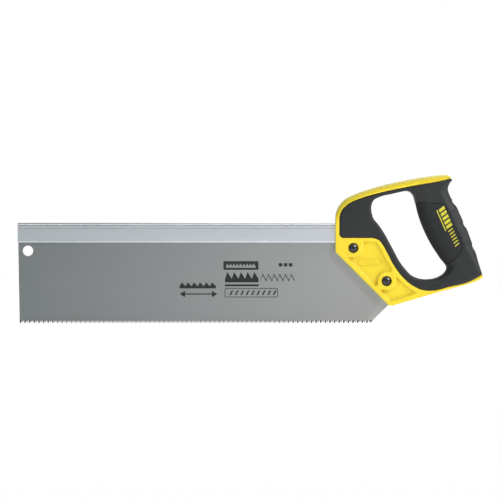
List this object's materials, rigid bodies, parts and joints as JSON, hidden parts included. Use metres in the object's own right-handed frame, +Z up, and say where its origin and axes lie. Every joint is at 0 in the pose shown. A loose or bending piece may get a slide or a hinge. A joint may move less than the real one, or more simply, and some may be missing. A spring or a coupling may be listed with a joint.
{
  "type": "back saw",
  "caption": "Back saw: a straight toothed steel blade stiffened by a folded metal back, with a closed moulded handle, for accurate straight and mitre cuts in wood.",
  "frame": {"origin": "bottom centre of the saw's box, level with the tooth tips and on the blade's mid-plane", "axes": "+X from the toe of the blade to the handle, +Y across the thickness away from the screw heads, +Z up from the teeth to the back"},
  "size_m": [0.4646, 0.028, 0.1482],
  "materials": {
    "blade_steel": "ground satin steel",
    "back_steel": "bright plated steel",
    "yellow_plastic": "satin moulded plastic",
    "grip_rubber": "matt moulded rubber",
    "panel_rubber": "fine textured rubber",
    "black_steel": "black oxide"
  },
  "bodies": {
    "root": {"blade": "blade_steel", "spine": "back_steel", "handle_core": "yellow_plastic", "grip_overmould": "grip_rubber", "grip_insert": "panel_rubber", "front_screw": "black_steel", "rear_screw": "black_steel", "front_nut": "black_steel", "rear_nut": "black_steel"}
  },
  "joints": []
}
